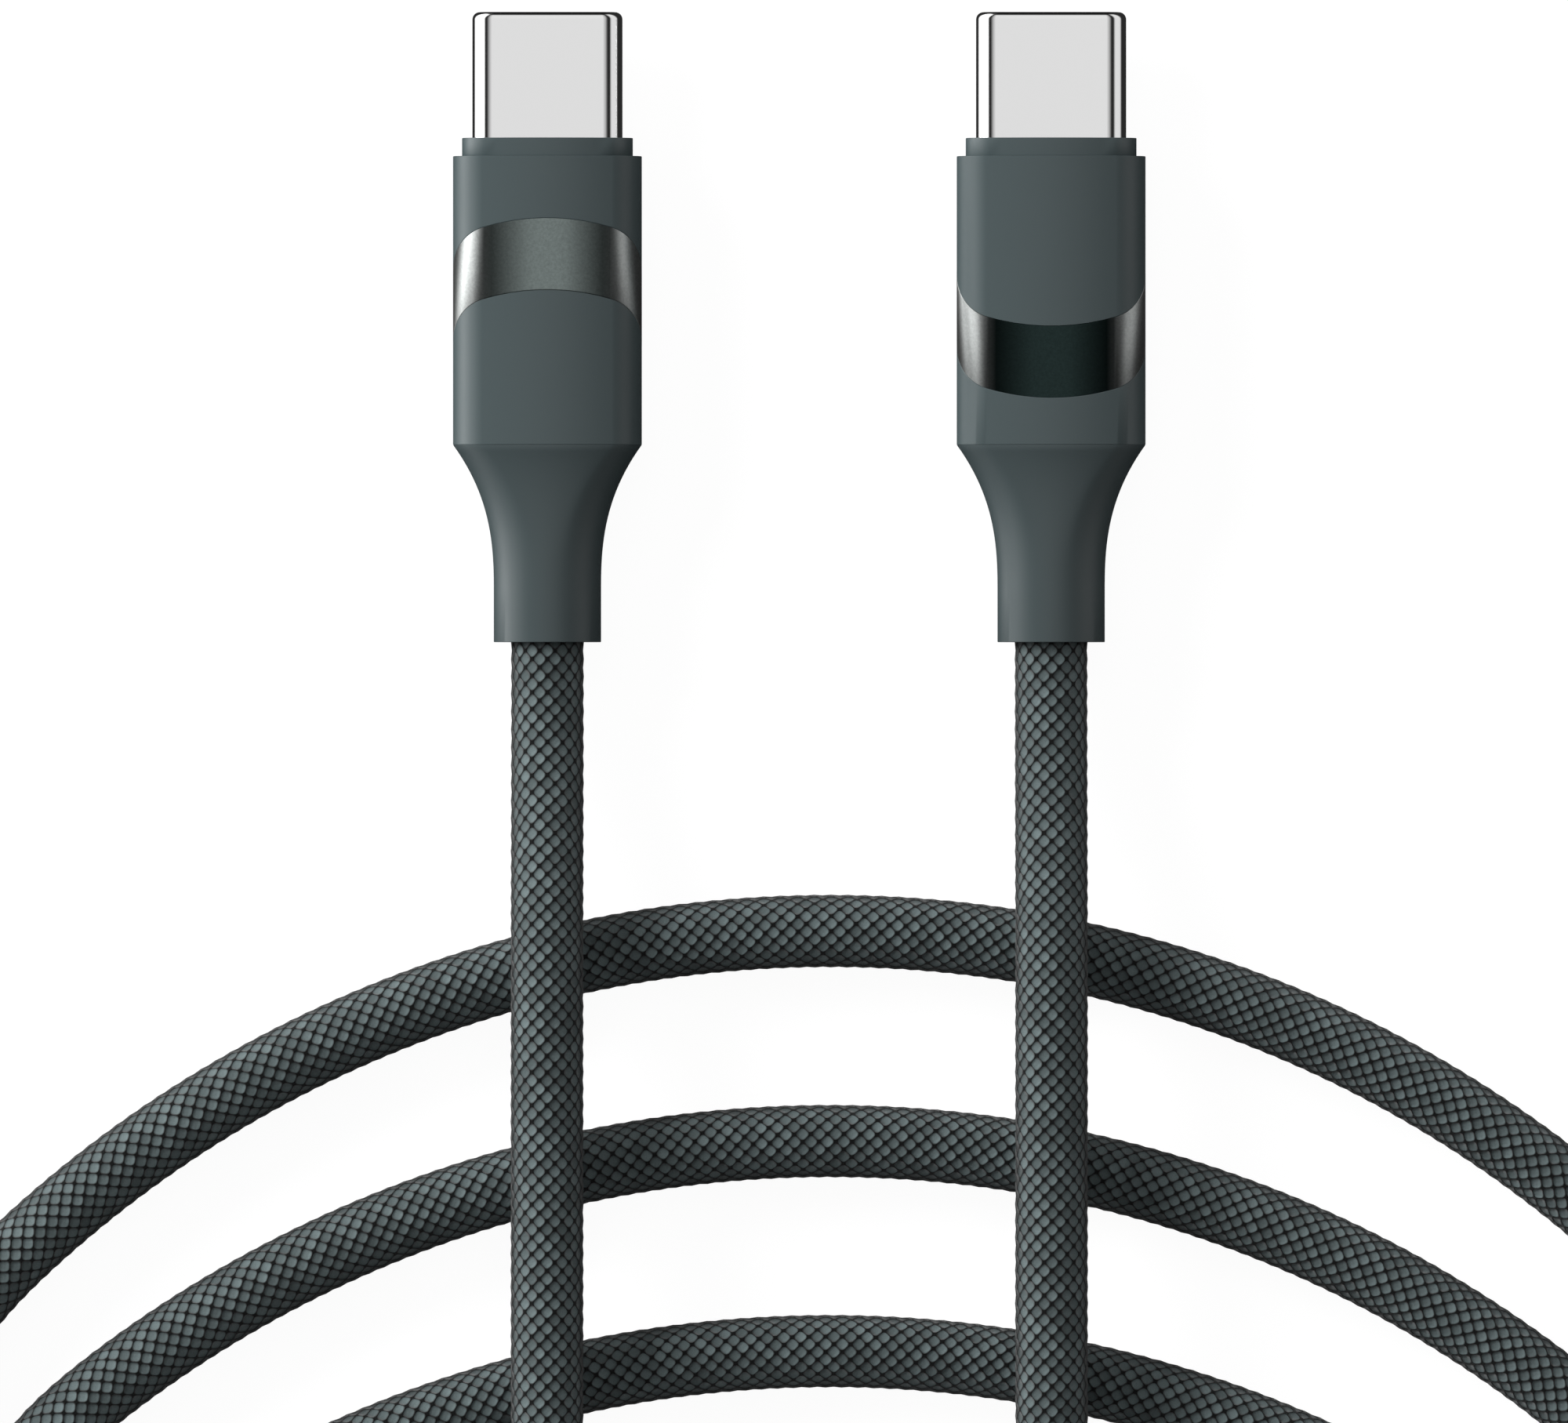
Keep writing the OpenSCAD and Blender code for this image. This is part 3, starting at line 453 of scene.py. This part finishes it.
def on_both_ends(piece, material, node):
    """Puts a piece that is made about a connector's own axis on both connectors, which are the same
    part: the right one is turned over."""
    piece.data.materials.append(material)
    own_name, own_mesh = piece.name, piece.data.copy()
    for end, turn_over, x in (("left", 0.0, -LEAD_X), ("right", math.pi, LEAD_X)):
        placed = piece
        if end == "right":
            placed = piece.copy()       # its list of nodes starts with the left piece's, which stays in it
            bpy.context.collection.objects.link(placed)
        placed.name = f"{end}_{own_name}"
        placed.data = own_mesh.copy()
        placed.data.transform(Matrix.Translation((x, HALF_LENGTH, CONNECTOR_AXIS_Z))
                              @ Matrix.Rotation(turn_over, 4, "Y"))
        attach(placed, "root")
        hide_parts(f"{end}_{node}")


def with_round_sides(w, h):
    """An outline of two half circles joined by flats."""
    def outline(facing):
        middle = math.copysign((w - h) / 2, math.cos(facing))
        return middle + h / 2 * math.cos(facing), h / 2 * math.sin(facing)
    return outline


SHELL_W, SHELL_H, SHELL_WALL = 8.25 * MM, 2.40 * MM, 0.30 * MM
SHELL_BACK = 10.12 * MM
RIM_R = 0.40 * MM
RIM_STEPS = 6


def shell_inset(inset):
    """The shell's outline, drawn in."""
    return with_round_sides(SHELL_W - 2 * inset, SHELL_H - 2 * inset)


rim = [(RIM_R * (1 - math.sin(a)), 0.0, shell_inset(RIM_R * (1 - math.cos(a))))
       for a in (math.pi / 2 * i / RIM_STEPS for i in range(RIM_STEPS + 1))]
lip = [(RIM_R - 0.10 * MM, 0.0, shell_inset(RIM_R)), (RIM_R, 0.0, shell_inset(SHELL_WALL))]
shell = loft("stamped_shell", [(SHELL_BACK, 0.0, shell_inset(0.0))] + rim + lip
             + [(SHELL_BACK, 0.0, shell_inset(SHELL_WALL))], sides=128)


def plated(name, colour, roughness):
    """Bright plated or rolled metal: even, with faint drawing marks along it that say metal."""
    made, tree = new_material(name)
    here = add_node(tree, "ShaderNodeTexCoord").outputs["Object"]
    # Drawing marks are about 0.05 mm apart and run along the plug
    stretched = add_node(tree, "ShaderNodeMapping", {0: here, 3: (20.0 / MM, 0.3 / MM, 20.0 / MM)})
    marks = add_node(tree, "ShaderNodeTexNoise", {"Vector": stretched.outputs[0], "Scale": 1.0,
                                                  "Detail": 2.0})
    gloss = add_node(tree, "ShaderNodeMapRange", {0: marks.outputs[0], 3: 0.85 * roughness,
                                                  4: 1.15 * roughness})
    bump = add_node(tree, "ShaderNodeBump", {"Height": marks.outputs[0], "Distance": 0.0002 * MM,
                                             "Strength": 0.06})
    surface = add_node(tree, "ShaderNodeBsdfPrincipled", {
        "Base Color": srgb(colour), "Metallic": 1.0, "Roughness": gloss.outputs[0],
        "Normal": bump.outputs[0]})
    add_node(tree, "ShaderNodeOutputMaterial", {"Surface": surface.outputs[0]})
    return made


nickel = plated("bright_nickel_plate", "#f0f0f0", 0.09)
on_both_ends(shell, nickel, "plug_shell")


# ---- Nose collar ----
# The narrower front of the moulded body, which the plug comes out of. It is injection-moulded and
# satin, in the same slate plastic as the body, and its back part is glued inside the body.

BODY_W, BODY_H = 10.38 * MM, 5.95 * MM
FACE_R, SIDE_R, CORNER_R_BODY = 12.5 * MM, 6.0 * MM, 2.3 * MM
NOSE_Y, BODY_Y, BOOT_Y = 6.92 * MM, 7.92 * MM, 23.78 * MM
NOSE_STEP = 0.495 * MM
BODY_WALL = 0.90 * MM
CUT_EDGE = 0.035 * MM           # how far the moulded edges are broken

face_centre = Vector((0.0, BODY_H / 2 - FACE_R))
side_centre = Vector((BODY_W / 2 - SIDE_R, 0.0))
between = side_centre - face_centre
face_reach, side_reach = FACE_R - CORNER_R_BODY, SIDE_R - CORNER_R_BODY
along = (face_reach ** 2 - side_reach ** 2 + between.length_squared) / (2 * between.length)
out = math.sqrt(face_reach ** 2 - along ** 2)
sideways = Vector((between.y, -between.x)).normalized()
corner_centre = face_centre + between.normalized() * along + sideways * out
face_from = math.atan2(corner_centre.y - face_centre.y, corner_centre.x - face_centre.x)
side_to = math.atan2(corner_centre.y - side_centre.y, corner_centre.x - side_centre.x)


def body(inset=0.0):
    """The body's outline, drawn in. Its broad faces, corners and narrow sides are arcs that run into each
    other."""
    def outline(facing):
        x_sign, z_sign = math.copysign(1, math.cos(facing)), math.copysign(1, math.sin(facing))
        quarter = math.asin(min(1.0, abs(math.sin(facing))))
        centre, r = ((face_centre, FACE_R) if quarter >= face_from else
                     (corner_centre, CORNER_R_BODY) if quarter >= side_to else (side_centre, SIDE_R))
        x = centre.x + (r - inset) * math.cos(quarter)
        z = centre.y + (r - inset) * math.sin(quarter)
        return x_sign * x, z_sign * z
    return outline


def moulded(name, colour, roughness):
    """Moulded plastic with a fine spark-eroded grain: satin, with a soft broad highlight."""
    made, tree = new_material(name)
    here = add_node(tree, "ShaderNodeTexCoord").outputs["Object"]
    # The grain is about 0.03 mm; it is drawn at 0.08 mm, which shows close up
    grain = add_node(tree, "ShaderNodeTexNoise", {"Vector": here, "Scale": 12.0 / MM, "Detail": 2.0})
    cloud = add_node(tree, "ShaderNodeTexNoise", {"Vector": here, "Scale": 0.25 / MM, "Detail": 2.0})
    gloss = add_node(tree, "ShaderNodeMapRange", {0: cloud.outputs[0], 3: roughness - 0.04,
                                                  4: roughness + 0.04})
    bump = add_node(tree, "ShaderNodeBump", {"Height": grain.outputs[0], "Distance": 0.004 * MM,
                                             "Strength": 0.5})
    surface = add_node(tree, "ShaderNodeBsdfPrincipled", {
        "Base Color": srgb(colour), "Roughness": gloss.outputs[0], "IOR": 1.5, "Specular IOR Level": 0.7,
        "Normal": bump.outputs[0]})
    add_node(tree, "ShaderNodeOutputMaterial", {"Surface": surface.outputs[0]})
    return made


FIT = 0.02 * MM                 # the gap between pieces that fit into each other
COLLAR_BACK = BODY_Y + 2.0 * MM
PLUG_HOLE = with_round_sides(SHELL_W + 2 * FIT, SHELL_H + 2 * FIT)
slate = moulded("slate_abs", "#404c4e", 0.45)
collar = loft("nose_collar_moulding", [
    (NOSE_Y, 0.0, PLUG_HOLE), (NOSE_Y, 0.0, body(NOSE_STEP)), (BODY_Y, 0.0, body(NOSE_STEP)),
    (BODY_Y, 0.0, body(BODY_WALL + FIT)), (COLLAR_BACK, 0.0, body(BODY_WALL + FIT)),
    (COLLAR_BACK, 0.0, PLUG_HOLE)], edge=CUT_EDGE)
on_both_ends(collar, slate, "nose_collar")


# ---- Body ----
# Two slate mouldings that meet under a metal band: a front half cut off at a slant, and a rear
# half with a spigot that the band sits on and the front half is glued to.

BAND_MID, BAND_WIDTH, BAND_T = 16.28 * MM, 3.95 * MM, 0.35 * MM
BAND_SLOPE = 1.0                # the band is slanted at 45 degrees
front_cut = BAND_MID - BAND_WIDTH / 2
rear_cut = BAND_MID + BAND_WIDTH / 2

front_half = loft("front_half", [
    (BODY_Y, 0.0, body()), (front_cut, BAND_SLOPE, body()),
    (front_cut, BAND_SLOPE, body(BODY_WALL)), (BODY_Y, 0.0, body(BODY_WALL))], edge=CUT_EDGE)
on_both_ends(front_half, slate, "front_housing")

rear_half = loft("rear_half", [
    (BOOT_Y, 0.0, body()), (BOOT_Y, 0.0, body(BODY_WALL)),
    (front_cut + FIT, BAND_SLOPE, body(BODY_WALL)), (front_cut + FIT, BAND_SLOPE, body(BAND_T + FIT)),
    (rear_cut, BAND_SLOPE, body(BAND_T + FIT)), (rear_cut, BAND_SLOPE, body())], edge=CUT_EDGE)
on_both_ends(rear_half, slate, "rear_housing")


# ---- Trim band ----
# A slanted ring of bead-blasted, anodised aluminium, flush with the body. Its front face is coloured a
# mottled grey-green, its back dark and nearly plain. Painted shade darkens it towards its narrow sides,
# which carry a painted highlight.

def anodised(name, front, back, painted_highlight):
    """Anodised aluminium: satin, with the blasting's speckle; painted shade darkens it towards its narrow
    sides, which carry a painted highlight.
    """
    made, tree = new_material(name)
    here = add_node(tree, "ShaderNodeTexCoord").outputs["Object"]
    # Blasting leaves pits of about 0.05 mm; they are drawn at 0.15 mm, which shows
    speckle = add_node(tree, "ShaderNodeTexNoise", {"Vector": here, "Scale": 7.0 / MM, "Detail": 4.0,
                                                    "Roughness": 0.65})
    lightness = add_node(tree, "ShaderNodeMapRange", {0: speckle.outputs[0], 1: 0.3, 2: 0.7, 3: 0.86,
                                                      4: 1.14})
    side = add_node(tree, "ShaderNodeAttribute", attribute_name="front_side")
    broad = add_node(tree, "ShaderNodeMix", {0: side.outputs["Fac"], 6: srgb(back), 7: srgb(front)},
                     data_type="RGBA")
    # Painted shade: the broad colour is darkened towards the narrow sides
    painted_shade_factor = add_node(tree, "ShaderNodeAttribute", attribute_name="tint_and_painted_shade").outputs["Fac"]
    painted_shade_colour = add_node(tree, "ShaderNodeVectorMath", {0: broad.outputs[2], "Scale": painted_shade_factor},
                      operation="SCALE")
    # Painted highlight: the narrow sides take the bright colour
    no_painted_highlight = add_node(tree, "ShaderNodeAttribute", attribute_name="no_painted_highlight")
    plain = add_node(tree, "ShaderNodeMix", {0: no_painted_highlight.outputs["Fac"], 6: srgb(painted_highlight),
                                             7: painted_shade_colour.outputs[0]}, data_type="RGBA")
    colour = add_node(tree, "ShaderNodeVectorMath", {0: plain.outputs[2], "Scale": lightness.outputs[0]},
                      operation="SCALE")
    bump = add_node(tree, "ShaderNodeBump", {"Height": speckle.outputs[0], "Distance": 0.004 * MM,
                                             "Strength": 0.5})
    surface = add_node(tree, "ShaderNodeBsdfPrincipled", {
        "Base Color": colour.outputs[0], "Metallic": 1.0, "Roughness": 0.38, "Normal": bump.outputs[0]})
    add_node(tree, "ShaderNodeOutputMaterial", {"Surface": surface.outputs[0]})
    return made


band = loft("metal_band", [
    (front_cut + FIT, BAND_SLOPE, body()), (rear_cut - FIT, BAND_SLOPE, body()),
    (rear_cut - FIT, BAND_SLOPE, body(BAND_T)), (front_cut + FIT, BAND_SLOPE, body(BAND_T))],
    sides=192, edge=CUT_EDGE / 2)
# Across the band's width, from its middle: painted shade darkens the colour towards the narrow sides, which
# carry a painted highlight
PAINTED_HIGHLIGHT_FULL, PAINTED_HIGHLIGHT_FADE = 4.1 * MM, 0.75 * MM
PAINTED_SHADE_FROM, PAINTED_SHADE_TO, PAINTED_SHADE_LEAST = 0.9 * MM, 3.3 * MM, 0.17


def for_each_point(name, value):
    """Gives each of the band's points a value, worked out from its place."""
    layer = band.data.attributes.new(name, "FLOAT", "POINT")
    for point, v in zip(layer.data, band.data.vertices):
        point.value = value(v.co)


def rising(distance, start, end):
    """0 up to the start, 1 from the end, and even in between."""
    return min(1.0, max(0.0, (distance - start) / (end - start)))


for_each_point("front_side", lambda place: 1.0 if place.z > 0 else 0.0)
# Painted highlight: 1 across the middle, falling to 0 on the narrow sides, which take the bright colour
for_each_point("no_painted_highlight", lambda place: 1 - rising(abs(place.x), PAINTED_HIGHLIGHT_FULL - PAINTED_HIGHLIGHT_FADE, PAINTED_HIGHLIGHT_FULL))
# Painted shade: 1 in the middle, falling towards the narrow sides
for_each_point("tint_and_painted_shade", lambda place: 1 - (1 - PAINTED_SHADE_LEAST) * rising(abs(place.x), PAINTED_SHADE_FROM, PAINTED_SHADE_TO))
# The last colour is a painted highlight for the band's narrow sides
aluminium = anodised("blasted_anodised_aluminium", front="#8a9593", back="#2d3b3a", painted_highlight="#a6a9a8")
on_both_ends(band, aluminium, "trim_band")


# ---- Strain relief ----
# A soft elastomer sleeve, overmoulded on the cord. It starts with the body's outline, narrows in a
# waist to a slightly flattened round end, and is held by a tongue inside the body.

BOOT_TAPER, BOOT_END = 8.0 * MM, 2.84 * MM
BOOT_W, BOOT_H = 5.9 * MM, 5.1 * MM
SIDE_CURVE, FACE_CURVE = 2.6, 4.2   # how early the sides and the broad faces fall away from the body's
TONGUE = 2.0 * MM
TAPER_STEPS = 22
MOUTH_Y = BOOT_Y + BOOT_TAPER + BOOT_END


def oval(w, h):
    """An outline that is round, or rounded and flattened."""
    return lambda facing: (w / 2 * math.cos(facing), h / 2 * math.sin(facing))


def waist(share):
    """The sleeve's outline: the body's, turning into its end's as share goes from 0 to 1 of the taper."""
    def outline(facing):
        x, z = body()(facing)
        end_x, end_z = oval(BOOT_W, BOOT_H)(facing)
        return (end_x + (x - end_x) * (1 - share) ** SIDE_CURVE,
                end_z + (z - end_z) * (1 - share) ** FACE_CURVE)
    return outline


BORE = CORD_D + 2 * FIT
tongue = body(BODY_WALL + FIT)
taper = [(BOOT_Y + BOOT_TAPER * i / TAPER_STEPS, 0.0, waist(i / TAPER_STEPS))
         for i in range(TAPER_STEPS + 1)]
sleeve = loft("strain_relief_sleeve", [
    (BOOT_Y - TONGUE, 0.0, oval(BORE, BORE)), (BOOT_Y - TONGUE, 0.0, tongue), (BOOT_Y, 0.0, tongue)]
    + taper + [(MOUTH_Y, 0.0, oval(BOOT_W, BOOT_H)), (MOUTH_Y, 0.0, oval(BORE, BORE))], edge=CUT_EDGE)
on_both_ends(sleeve, moulded("slate_elastomer", "#3a4547", 0.46), "strain_relief")


# ---- Inner pieces ----
# What the body holds: the resin insert with its gold-plated contacts and steel springs, the
# circuit card with what is soldered to it, the tin-plated cans, the moulding and the cord's end.

def resin(name, colour, roughness, fleck):
    """A moulded, fired or coated surface with a faint cloud of another shade in it."""
    made, tree = new_material(name)
    here = add_node(tree, "ShaderNodeTexCoord").outputs["Object"]
    cloud = add_node(tree, "ShaderNodeTexNoise", {"Vector": here, "Scale": 2.5 / MM, "Detail": 3.0})
    tint_and_painted_shade = add_node(tree, "ShaderNodeMix", {0: cloud.outputs[0], 6: srgb(colour), 7: srgb(fleck)},
                    data_type="RGBA")
    grain = add_node(tree, "ShaderNodeTexNoise", {"Vector": here, "Scale": 14.0 / MM})
    bump = add_node(tree, "ShaderNodeBump", {"Height": grain.outputs[0], "Distance": 0.003 * MM,
                                             "Strength": 0.4})
    surface = add_node(tree, "ShaderNodeBsdfPrincipled", {
        "Base Color": tint_and_painted_shade.outputs[2], "Roughness": roughness, "IOR": 1.5, "Normal": bump.outputs[0]})
    add_node(tree, "ShaderNodeOutputMaterial", {"Surface": surface.outputs[0]})
    return made


FINISHES = {
    "carrier_plastic": resin("black_liquid_crystal_polymer", "#161718", 0.45, "#232527"),
    "contact_gold": plated("gold_plate", "#f3cf7a", 0.18),
    "spring_steel": plated("rolled_spring_steel", "#c9c8c4", 0.25),
    "card_laminate": resin("green_solder_mask", "#0f4a2c", 0.25, "#1a5f3a"),
    "capacitor_ceramic": resin("fired_ceramic", "#a3845a", 0.5, "#b3946a"),
    "chip_plastic": resin("black_epoxy", "#141414", 0.5, "#202020"),
    "red_insulation": resin("red_insulation", "#b3221d", 0.4, "#a51d19"),
    "black_insulation": resin("black_insulation", "#161616", 0.4, "#1e1e1e"),
    "white_insulation": resin("white_insulation", "#dddcd8", 0.4, "#d2d1cc"),
    "blue_insulation": resin("blue_insulation", "#1f4f9c", 0.4, "#1a4488"),
    "shield_tinplate": plated("tin_plate", "#c6c6c2", 0.32),
    "mould_plastic": resin("natural_polyamide", "#d8d3c3", 0.45, "#cdc7b4"),
    "ferrule_brass": plated("rolled_brass", "#d9b365", 0.28),
    "jacket_elastomer": resin("black_elastomer", "#1d1e1f", 0.55, "#262829"),
    "cord_braid": resin("slate_yarn_end", "#4b5557", 0.85, "#3b4446"),
}
for subpart in frame["record"]["subparts"]:
    finish = FINISHES.get(subpart["material_slot"])
    node = frame["nodes"][subpart["node"]]
    if finish and node.type == "MESH":
        node.data.materials.clear()
        node.data.materials.append(finish)
